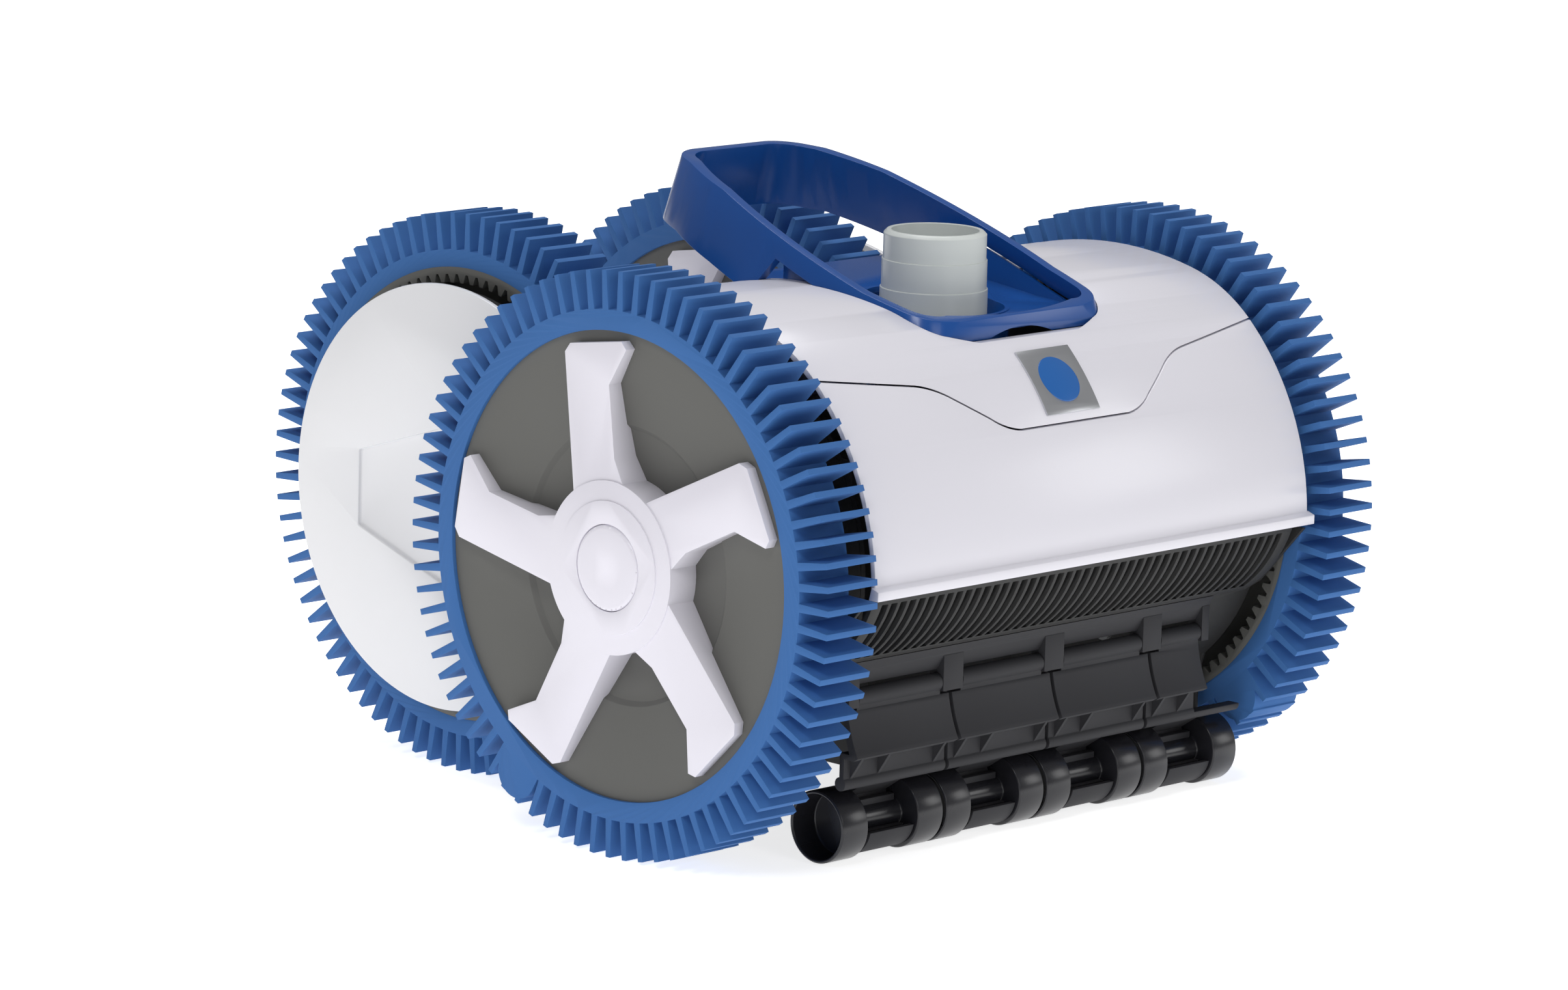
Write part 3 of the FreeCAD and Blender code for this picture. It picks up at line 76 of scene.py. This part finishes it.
# How a moulding's mesh is cleaned and rounded.
MERGE_DISTANCE = 0.01 * MM
FLAT_ANGLE = math.radians(0.6)
SHARP_ANGLE = math.radians(28)
SMOOTH_ANGLE = math.radians(32)
FINE_STEPS = 3

# The studio: each lamp's name, place, target, width and watts, all in metres.
LAMPS = (
    ("key_lamp", (-2.2, -1.2, 2.3), (0, -0.05, 0.12), 0.9, 24.0),
    ("top_lamp", (0.3, 0.5, 2.6), (0, 0, 0.1), 1.8, 42.0),
    ("side_lamp", (2.6, -2.2, 1.0), (0, 0, 0.14), 1.0, 9.0),
    ("front_lamp", (-0.4, -3.0, 1.3), (0, -0.1, 0.1), 1.2, 9.0),
)
WORLD_STRENGTH = 0.22
FLOOR_GLOW = 0.80

# The camera's place in metres, its angles in degrees, and its lens and film width in millimetres.
CAMERA_PLACE = (-2.0889, -2.0453, 0.6727)
CAMERA_TURN = -45.7375
CAMERA_RISE = 10.6296
CAMERA_ROLL = 1.5285
CAMERA_LENS = 153.53
CAMERA_FILM = 36
CAMERA_REACH = 100


# ---------------------------------------------------------------- sizes and colours
def rounding(name, description, default):
    """A property for an edge radius."""
    return FloatProperty(name=name, description=description, default=default, min=0, unit="LENGTH")


def tone(name, description, default):
    """A property for a base colour."""
    return FloatVectorProperty(name=name, description=description, subtype="COLOR",
                               default=default, min=0, max=1)


class CleanerSizes(bpy.types.PropertyGroup):
    """Edge radii and small dimensions that a user may change."""
    tread_round: rounding("Tread rounding", "Radius on the edges of the tyre blades", 0.8 * MM)
    cap_round: rounding("Cap rounding", "Radius on the edges of the spoked caps", 1.3 * MM)
    cover_round: rounding("Cover rounding", "Radius on the edges of the white covers", 0.8 * MM)
    ring_round: rounding("Ring rounding", "Radius on the lip of the handle ring", 1.8 * MM)
    frame_round: rounding("Frame rounding", "Radius on the black mouldings", 0.5 * MM)
    roller_round: rounding("Roller rounding", "Radius on the rims of the rollers", 1.2 * MM)
    badge_round: rounding("Badge rounding", "Radius on the plate and its inlay", 0.3 * MM)
    cone_round: rounding("Cone rounding", "Radius on the hose cone and its collar", 0.5 * MM)
    round_steps: IntProperty(name="Rounding steps", description="Segments across each edge",
                             default=2, min=1, max=4)
    floor_size: FloatProperty(name="Floor size", description="Width of the studio floor",
                              default=12.0, min=1, unit="LENGTH")


class CleanerColours(bpy.types.PropertyGroup):
    """Base colours of the mouldings."""
    tread: tone("Tread", "Blue of the tyres", (0.002, 0.072, 0.370))
    ring: tone("Ring", "Blue of the handle ring and its tray", (0.0004, 0.034, 0.270))
    cover: tone("Cover", "White of the covers and caps", (0.665, 0.650, 0.745))
    dish: tone("Dish", "Warm grey of the wheel discs", (0.075, 0.073, 0.068))
    black: tone("Black", "Black of the frame", (0.0065, 0.0062, 0.0060))
    skirt: tone("Skirt", "Black of the skirts", (0.018, 0.017, 0.016))
    roller: tone("Roller", "Black of the rollers", (0.020, 0.019, 0.018))
    cone: tone("Cone", "Milky colour of the hose cone", (0.84, 0.86, 0.845))
    collar: tone("Collar", "Grey of the hose cone's collar", (0.16, 0.165, 0.17))
    plate: tone("Badge plate", "Silver of the badge", (0.94, 0.96, 0.98))
    inlay: tone("Badge inlay", "Blue of the badge's round inlay", (0.01, 0.20, 0.55))
    gear: tone("Gear", "Natural colour of the gears", (0.60, 0.59, 0.53))
    turbine: tone("Turbine", "Blue of the turbine", (0.02, 0.10, 0.27))
    steel: tone("Steel", "Pins and shafts", (0.50, 0.51, 0.52))
    brass: tone("Brass", "Bushes", (0.62, 0.44, 0.19))
    floor: tone("Floor", "Colour of the studio floor", (0.95, 0.95, 0.95))


def sizes():
    """The scene's sizes."""
    return bpy.context.scene.cleaner_sizes


# ---------------------------------------------------------------- finishes
class Wire:
    """A node socket that adds Math nodes when it takes part in arithmetic."""

    def __init__(self, tree, socket):
        self.tree = tree
        self.socket = socket

    def _math(self, operation, first, second):
        step = self.tree.nodes.new("ShaderNodeMath")
        step.operation = operation
        for socket, value in zip(step.inputs, (first, second)):
            if isinstance(value, Wire):
                self.tree.links.new(value.socket, socket)
            else:
                socket.default_value = value
        return Wire(self.tree, step.outputs[0])

    def __add__(self, other):
        return self._math("ADD", self, other)

    def __radd__(self, other):
        return self._math("ADD", other, self)

    def __mul__(self, other):
        return self._math("MULTIPLY", self, other)

    def __rmul__(self, other):
        return self._math("MULTIPLY", other, self)


class Finish:
    """A procedural material in the making."""

    def __init__(self, name):
        self.material = bpy.data.materials.new(name)
        self.material.use_nodes = True
        self.tree = self.material.node_tree
        self.shader = self.tree.nodes["Principled BSDF"]
        self.place = self.node("ShaderNodeTexCoord", output="Object")

    def node(self, kind, settings=None, sockets=None, output=0):
        """Add a node: its settings first, then the values or links of its sockets."""
        made = self.tree.nodes.new(kind)
        for key, value in (settings or {}).items():
            setattr(made, key, value)
        for key, value in (sockets or {}).items():
            self.feed(made.inputs[key], value)
        return Wire(self.tree, made.outputs[output])

    def feed(self, socket, value):
        """Link a wire to a socket, or set the socket's value."""
        if isinstance(value, Wire):
            self.tree.links.new(value.socket, socket)
        else:
            socket.default_value = value

    def shade(self, **values):
        """Feed sockets of the shader; an underscore in a name stands for a space."""
        for key, value in values.items():
            self.feed(self.shader.inputs[key.replace("_", " ")], value)

    def stretched(self, scale):
        """Object coordinates stretched along the axes."""
        return self.node("ShaderNodeMapping", None, {"Vector": self.place, "Scale": scale})

    def noise(self, scale, detail, roughness=0.5, vector=None):
        """Noise from 0 to 1, its scale in features per metre."""
        return self.node("ShaderNodeTexNoise", None, {
            "Vector": vector or self.place, "Scale": scale, "Detail": detail,
            "Roughness": roughness})

    def cells(self, scale):
        """Distance inside random cells, for pitted moulded surfaces."""
        return self.node("ShaderNodeTexVoronoi", None, {"Vector": self.place, "Scale": scale})

    def rings(self, scale):
        """Rings round the wheel axis, for marks left by the tool."""
        return self.node("ShaderNodeTexWave", {"wave_type": "RINGS", "rings_direction": "X"}, {
            "Vector": self.stretched((0, 1, 1)), "Scale": scale, "Distortion": 0.6}, output=1)

    def band(self, wire, low, high):
        """Spread the values between two limits over 0 to 1."""
        return self.node("ShaderNodeMapRange", None, {
            "Value": wire, "From Min": low, "From Max": high})

    def blend(self, factor, first, second):
        """Mix two colours."""
        return self.node("ShaderNodeMix", {"data_type": "RGBA"},
                         {0: factor, 6: first, 7: second}, output=2)

    def bump(self, height, depth, strength):
        """Bump whose depth is in metres."""
        return self.node("ShaderNodeBump", None, {
            "Height": height, "Distance": depth, "Strength": strength})


def tinted(colour, gain):
    """A colour made lighter or darker, with full alpha."""
    return tuple(min(1.0, channel * gain) for channel in colour) + (1.0,)


def satin_rubber(name, colour):
    """Moulded rubber: a satin skin, a fine matt grain and a slight bloom in random patches."""
    skin = Finish(name)
    patches = skin.noise(scale=28, detail=4)
    grain = skin.noise(scale=2600, detail=3, roughness=0.6)
    bloom = skin.band(skin.noise(scale=90, detail=5, roughness=0.65), low=0.52, high=0.78)
    base = skin.blend(patches, tinted(colour, 0.86), tinted(colour, 1.12))
    skin.shade(Base_Color=skin.blend(bloom * 0.16, base, tinted(colour, 1.9)),
               Roughness=0.40 + 0.08 * patches + 0.05 * grain,
               Specular_IOR_Level=0.20, Sheen_Weight=0.02,
               Normal=skin.bump(grain + 2.5 * patches, depth=0.06 * MM, strength=0.5))


def glossy_shell(name, colour, gloss, coat):
    """Polished moulding: faint flow ripples, hairline scratches and a clear bright skin."""
    skin = Finish(name)
    flow = skin.noise(scale=9, detail=2)
    ripple = skin.noise(scale=46, detail=1)
    lines = skin.noise(scale=240, detail=2, vector=skin.stretched((1, 9, 9)))
    hair = skin.band(lines, low=0.70, high=0.80)
    skin.shade(Base_Color=skin.blend(flow, tinted(colour, 0.965), tinted(colour, 1.03)),
               Roughness=gloss + 0.03 * flow + 0.05 * hair,
               Coat_Weight=coat, Coat_Roughness=0.06, Specular_IOR_Level=0.5,
               Normal=skin.bump(ripple + 0.05 * hair, depth=0.10 * MM, strength=0.25))


def dished_plastic(name, colour):
    """Fine-textured grey plastic of the wheel discs, with faint rings left by the tool."""
    skin = Finish(name)
    grain = skin.noise(scale=3400, detail=2, roughness=0.7)
    patches = skin.noise(scale=16, detail=3)
    marks = skin.rings(scale=60)
    skin.shade(Base_Color=skin.blend(patches, tinted(colour, 0.90), tinted(colour, 1.13)),
               Roughness=0.43 + 0.07 * grain + 0.04 * patches, Specular_IOR_Level=0.4,
               Normal=skin.bump(grain + 0.25 * marks, depth=0.05 * MM, strength=0.6))


def pitted_moulding(name, colour, roughness, pits=1500):
    """Glass-filled plastic: pitted grain, greyer scuffs and a dull shine."""
    skin = Finish(name)
    grain = skin.cells(pits)
    patches = skin.noise(scale=22, detail=4)
    streaks = skin.noise(scale=150, detail=5, roughness=0.7, vector=skin.stretched((0.4, 1, 1)))
    scuff = skin.band(streaks, low=0.60, high=0.80)
    base = skin.blend(patches, tinted(colour, 0.75), tinted(colour, 1.45))
    skin.shade(Base_Color=skin.blend(scuff * 0.25, base, tinted(colour, 4.5)),
               Roughness=roughness + 0.10 * patches + 0.14 * scuff, Specular_IOR_Level=0.5,
               Normal=skin.bump(grain + patches, depth=0.06 * MM, strength=0.5))


def worn_roller(name, colour):
    """Roller plastic: scratches round the axle and a soft worn shine."""
    skin = Finish(name)
    lines = skin.noise(scale=700, detail=3, roughness=0.6, vector=skin.stretched((1.0, 0.02, 0.02)))
    patches = skin.noise(scale=60, detail=4)
    worn = skin.band(lines, low=0.50, high=0.75)
    skin.shade(Base_Color=skin.blend(worn * 0.35, tinted(colour, 1.0), tinted(colour, 5.0)),
               Roughness=0.24 + 0.18 * worn + 0.10 * patches, Specular_IOR_Level=0.55,
               Normal=skin.bump(lines, depth=0.08 * MM, strength=0.45))


def milky_plastic(name, colour):
    """Milky translucent plastic of the hose cone."""
    skin = Finish(name)
    cloud = skin.noise(scale=34, detail=3)
    grain = skin.noise(scale=1500, detail=2)
    skin.shade(Base_Color=skin.blend(cloud, tinted(colour, 0.95), tinted(colour, 1.05)),
               Roughness=0.30 + 0.06 * cloud, Subsurface_Weight=0.55, Subsurface_Scale=8 * MM,
               Transmission_Weight=0.12, IOR=1.45, Coat_Weight=0.15,
               Normal=skin.bump(grain + cloud, depth=0.06 * MM, strength=0.4))


def drawn_metal(name, colour, roughness, stretch):
    """Metal with fine lines along one axis."""
    skin = Finish(name)
    lines = skin.noise(scale=900, detail=3, roughness=0.6, vector=skin.stretched(stretch))
    stain = skin.noise(scale=120, detail=3)
    skin.shade(Base_Color=skin.blend(stain, tinted(colour, 0.88), tinted(colour, 1.08)),
               Metallic=1.0, Roughness=roughness + 0.16 * lines,
               Normal=skin.bump(lines, depth=0.04 * MM, strength=0.5))


def studio_paper(name, colour):
    """Smooth matt paper that glows a little, so that it stays white."""
    skin = Finish(name)
    tooth = skin.noise(scale=500, detail=3)
    cloud = skin.noise(scale=1.5, detail=1)
    skin.shade(Base_Color=skin.blend(cloud, tinted(colour, 0.995), tinted(colour, 1.005)),
               Roughness=0.72 + 0.06 * tooth, Specular_IOR_Level=0.25,
               Emission_Color=tinted(colour, 1.0), Emission_Strength=FLOOR_GLOW,
               Normal=skin.bump(tooth, depth=0.04 * MM, strength=0.2))


def make_finishes():
    """Make every finish, each named for its slot in the record."""
    tones = bpy.context.scene.cleaner_colours
    satin_rubber("tyre_blue", tones.tread)
    satin_rubber("turbine_blue", tones.turbine)
    dished_plastic("disc_grey", tones.dish)
    glossy_shell("cap_white", tones.cover, gloss=0.20, coat=0.40)
    glossy_shell("cover_white", tones.cover, gloss=0.16, coat=0.55)
    glossy_shell("case_white", tones.cover, gloss=0.22, coat=0.30)
    glossy_shell("ring_blue", tones.ring, gloss=0.10, coat=0.45)
    glossy_shell("badge_blue", tones.inlay, gloss=0.10, coat=0.90)
    pitted_moulding("frame_black", tones.black, roughness=0.36)
    pitted_moulding("skirt_black", tones.skirt, roughness=0.24, pits=900)
    pitted_moulding("collar_grey", tones.collar, roughness=0.35)
    pitted_moulding("gear_white", tones.gear, roughness=0.42)
    pitted_moulding("gear_black", tones.black, roughness=0.40)
    worn_roller("roller_black", tones.roller)
    milky_plastic("cone_clear", tones.cone)
    drawn_metal("badge_silver", tones.plate, roughness=0.18, stretch=(0.05, 1, 1))
    drawn_metal("pin_steel", tones.steel, roughness=0.22, stretch=(1, 0.05, 0.05))
    drawn_metal("bush_brass", tones.brass, roughness=0.26, stretch=(1, 0.05, 0.05))
    studio_paper("studio_floor", tones.floor)


# ---------------------------------------------------------------- modelling helpers
def deselect():
    """Leave edit mode and deselect everything."""
    if bpy.context.object and bpy.context.object.mode != "OBJECT":
        bpy.ops.object.mode_set(mode="OBJECT")
    bpy.ops.object.select_all(action="DESELECT")


def pick(piece):
    """Make a piece the only selected and active object."""
    deselect()
    piece.select_set(True)
    bpy.context.view_layer.objects.active = piece


def wear(piece, finish):
    """Give a piece one finish all over; the finishes are made when the first is asked for."""
    if finish not in bpy.data.materials:
        make_finishes()
    piece.data.materials.clear()
    piece.data.materials.append(bpy.data.materials[finish])
    for face in piece.data.polygons:
        face.material_index = 0


def copy_of(node, name):
    """A free copy of a CAD node, with its own mesh and none of the node's tags."""
    pick(frame["nodes"][node])
    bpy.ops.object.duplicate()
    piece = bpy.context.object
    piece.name = name
    piece.parent = None
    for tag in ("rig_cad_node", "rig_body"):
        if tag in piece:
            del piece[tag]
    piece.data = piece.data.copy()
    piece.data.name = name
    return piece


def softened(node, name, radius, steps=None):
    """A copy of a moulding with rounded edges, shown in its place."""
    piece = copy_of(node, name)
    bpy.ops.object.mode_set(mode="EDIT")
    bpy.ops.mesh.select_mode(type="VERT")
    bpy.ops.mesh.select_all(action="SELECT")
    bpy.ops.mesh.remove_doubles(threshold=MERGE_DISTANCE)
    bpy.ops.mesh.dissolve_limited(angle_limit=FLAT_ANGLE)
    bpy.ops.object.mode_set(mode="OBJECT")
    if radius > 0:
        edge = piece.modifiers.new("Rounding", "BEVEL")
        edge.width = radius
        edge.segments = steps or sizes().round_steps
        edge.limit_method = "ANGLE"
        edge.angle_limit = SHARP_ANGLE
        edge.use_clamp_overlap = True
        edge.miter_outer = "MITER_ARC"
        bpy.ops.object.modifier_apply(modifier=edge.name)
    bpy.ops.object.shade_smooth_by_angle(angle=SMOOTH_ANGLE)
    wear(piece, SLOT_OF[node])
    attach(piece, BODY_OF[node])
    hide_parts(node)


# ---------------------------------------------------------------- operators
class CLEANER_OT_finishes(bpy.types.Operator):
    """Give every carried-over part its finish"""
    bl_idname = "cleaner.finishes"
    bl_label = "Finish the Mechanism"

    def execute(self, context):
        for name, part in frame["nodes"].items():
            wear(part, SLOT_OF[name])
        return {"FINISHED"}


class CLEANER_OT_wheels(bpy.types.Operator):
    """Round the edges of the tyres, discs, spoked caps and buttons"""
    bl_idname = "cleaner.wheels"
    bl_label = "Wheels"

    def execute(self, context):
        size = sizes()
        for wheel in WHEELS:
            softened(f"{wheel}_tyre", f"{wheel}_tread", size.tread_round)
            softened(f"{wheel}_rim", f"{wheel}_disc", size.frame_round)
            softened(f"{wheel}_hub_cap", f"{wheel}_spokes", size.cap_round)
            softened(f"{wheel}_cap_button", f"{wheel}_button", size.cap_round)
        return {"FINISHED"}


class CLEANER_OT_covers(bpy.types.Operator):
    """Round the edges of the white covers and the gear cases' panels"""
    bl_idname = "cleaner.covers"
    bl_label = "Covers"

    def execute(self, context):
        radius = sizes().cover_round
        softened("front_cover", "front_shell", radius)
        softened("top_cover", "top_shell", radius)
        softened("rear_cover", "rear_shell", radius)
        softened("left_case_panel", "left_panel", radius)
        softened("right_case_panel", "right_panel", radius)
        return {"FINISHED"}


class CLEANER_OT_badge(bpy.types.Operator):
    """Round the edges of the blank badge and its inlay"""
    bl_idname = "cleaner.badge"
    bl_label = "Badge"

    def execute(self, context):
        radius = sizes().badge_round
        softened("badge_plate", "badge_back", radius)
        softened("badge_disc", "badge_inlay", radius)
        return {"FINISHED"}


class CLEANER_OT_handle(bpy.types.Operator):
    """Round the lip of the handle ring and the tray below it"""
    bl_idname = "cleaner.handle"
    bl_label = "Handle Ring"

    def execute(self, context):
        size = sizes()
        softened("handle_ring", "ring", size.ring_round, FINE_STEPS)
        softened("throat_well", "well", size.frame_round)
        return {"FINISHED"}


class CLEANER_OT_hose_cone(bpy.types.Operator):
    """Round the steps and the lip of the hose cone and its collar"""
    bl_idname = "cleaner.hose_cone"
    bl_label = "Hose Cone"

    def execute(self, context):
        radius = sizes().cone_round
        softened("hose_cone", "cone", radius, FINE_STEPS)
        softened("swivel_collar", "collar", radius)
        return {"FINISHED"}


class CLEANER_OT_grille(bpy.types.Operator):
    """Round the bars of the front grille"""
    bl_idname = "cleaner.grille"
    bl_label = "Front Grille"

    def execute(self, context):
        softened("front_grille", "grille_bars", sizes().frame_round)
        return {"FINISHED"}


class CLEANER_OT_skirts(bpy.types.Operator):
    """Round the hinged skirts, their rollers and the plate that carries them"""
    bl_idname = "cleaner.skirts"
    bl_label = "Skirts and Rollers"

    def execute(self, context):
        size = sizes()
        for count in SKIRTS:
            softened(f"front_skirt_{count}", f"skirt_{count}", size.frame_round)
            softened(f"skirt_roller_{count}", f"roller_{count}", size.roller_round, FINE_STEPS)
        softened("mouth_plate", "hinge_plate", size.frame_round)
        return {"FINISHED"}


class CLEANER_OT_cases(bpy.types.Operator):
    """Round the gear cases, the frame and the intake funnel"""
    bl_idname = "cleaner.cases"
    bl_label = "Gear Cases and Frame"

    def execute(self, context):
        radius = sizes().frame_round
        softened("left_gear_case", "left_case", radius)
        softened("right_gear_case", "right_case", radius)
        softened("chassis", "frame_plates", radius)
        softened("intake_funnel", "funnel", radius)
        return {"FINISHED"}


class CLEANER_OT_stage(bpy.types.Operator):
    """Add the floor, the soft lights and the camera"""
    bl_idname = "cleaner.stage"
    bl_label = "Stage"

    def execute(self, context):
        deselect()
        add_floor()
        for lamp in LAMPS:
            add_lamp(*lamp)
        add_world(context)
        add_camera(context)
        return {"FINISHED"}


def add_floor():
    """A wide flat floor under the wheels."""
    bpy.ops.mesh.primitive_plane_add(size=sizes().floor_size, location=(0, 0, 0))
    floor = bpy.context.object
    floor.name = "studio_floor"
    wear(floor, "studio_floor")


def add_lamp(name, place, target, across, power):
    """A square soft light that looks at its target."""
    bpy.ops.object.light_add(type="AREA", location=place)
    lamp = bpy.context.object
    lamp.name = name
    lamp.data.size = across
    lamp.data.energy = power
    aim = Vector(target) - Vector(place)
    lamp.rotation_euler = aim.to_track_quat("-Z", "Y").to_euler()


def add_world(context):
    """An even white surrounding, and plain colours in the view."""
    world = bpy.data.worlds.new("studio")
    world.use_nodes = True
    background = world.node_tree.nodes["Background"]
    background.inputs["Color"].default_value = (1, 1, 1, 1)
    background.inputs["Strength"].default_value = WORLD_STRENGTH
    context.scene.world = world
    context.scene.view_settings.view_transform = "Standard"


def add_camera(context):
    """A long lens that looks at the cleaner from its front left, a little above."""
    turn, rise, roll = (math.radians(angle) for angle in (CAMERA_TURN, CAMERA_RISE, CAMERA_ROLL))
    right = Vector((math.cos(turn), math.sin(turn), 0))
    back = Vector((math.sin(turn) * math.cos(rise), -math.cos(turn) * math.cos(rise),
                   math.sin(rise)))
    up = back.cross(right)
    tilted_right = math.cos(roll) * right + math.sin(roll) * up
    tilted_up = -math.sin(roll) * right + math.cos(roll) * up
    facing = Matrix((tilted_right, tilted_up, back)).transposed().to_4x4()
    bpy.ops.object.camera_add()
    camera = bpy.context.object
    camera.name = "studio_camera"
    camera.matrix_world = Matrix.Translation(CAMERA_PLACE) @ facing
    camera.data.sensor_width = CAMERA_FILM
    camera.data.lens = CAMERA_LENS
    camera.data.clip_end = CAMERA_REACH
    context.scene.camera = camera


class CLEANER_PT_panel(bpy.types.Panel):
    """Lists the pieces in the order in which they are made"""
    bl_label = "Pool Cleaner"
    bl_space_type = "VIEW_3D"
    bl_region_type = "UI"
    bl_category = "Cleaner"

    def draw(self, context):
        for step in STEPS:
            self.layout.operator(step.bl_idname)
        for group in (context.scene.cleaner_sizes, context.scene.cleaner_colours):
            for name in group.bl_rna.properties.keys():
                if name not in ("rna_type", "name"):
                    self.layout.prop(group, name)


STEPS = (
    CLEANER_OT_finishes, CLEANER_OT_wheels, CLEANER_OT_covers, CLEANER_OT_badge,
    CLEANER_OT_handle, CLEANER_OT_hose_cone, CLEANER_OT_grille, CLEANER_OT_skirts,
    CLEANER_OT_cases, CLEANER_OT_stage,
)
CLASSES = (CleanerSizes, CleanerColours) + STEPS + (CLEANER_PT_panel,)


def register():
    """Register the classes and hang the sizes and colours on the scene."""
    for item in CLASSES:
        bpy.utils.register_class(item)
    bpy.types.Scene.cleaner_sizes = PointerProperty(type=CleanerSizes)
    bpy.types.Scene.cleaner_colours = PointerProperty(type=CleanerColours)


def unregister():
    """Undo register."""
    del bpy.types.Scene.cleaner_colours
    del bpy.types.Scene.cleaner_sizes
    for item in reversed(CLASSES):
        bpy.utils.unregister_class(item)


def main():
    """Make the cleaner and its stage."""
    register()
    for step in STEPS:
        group, name = step.bl_idname.split(".")
        getattr(getattr(bpy.ops, group), name)()
    deselect()


if __name__ == "__main__":
    main()
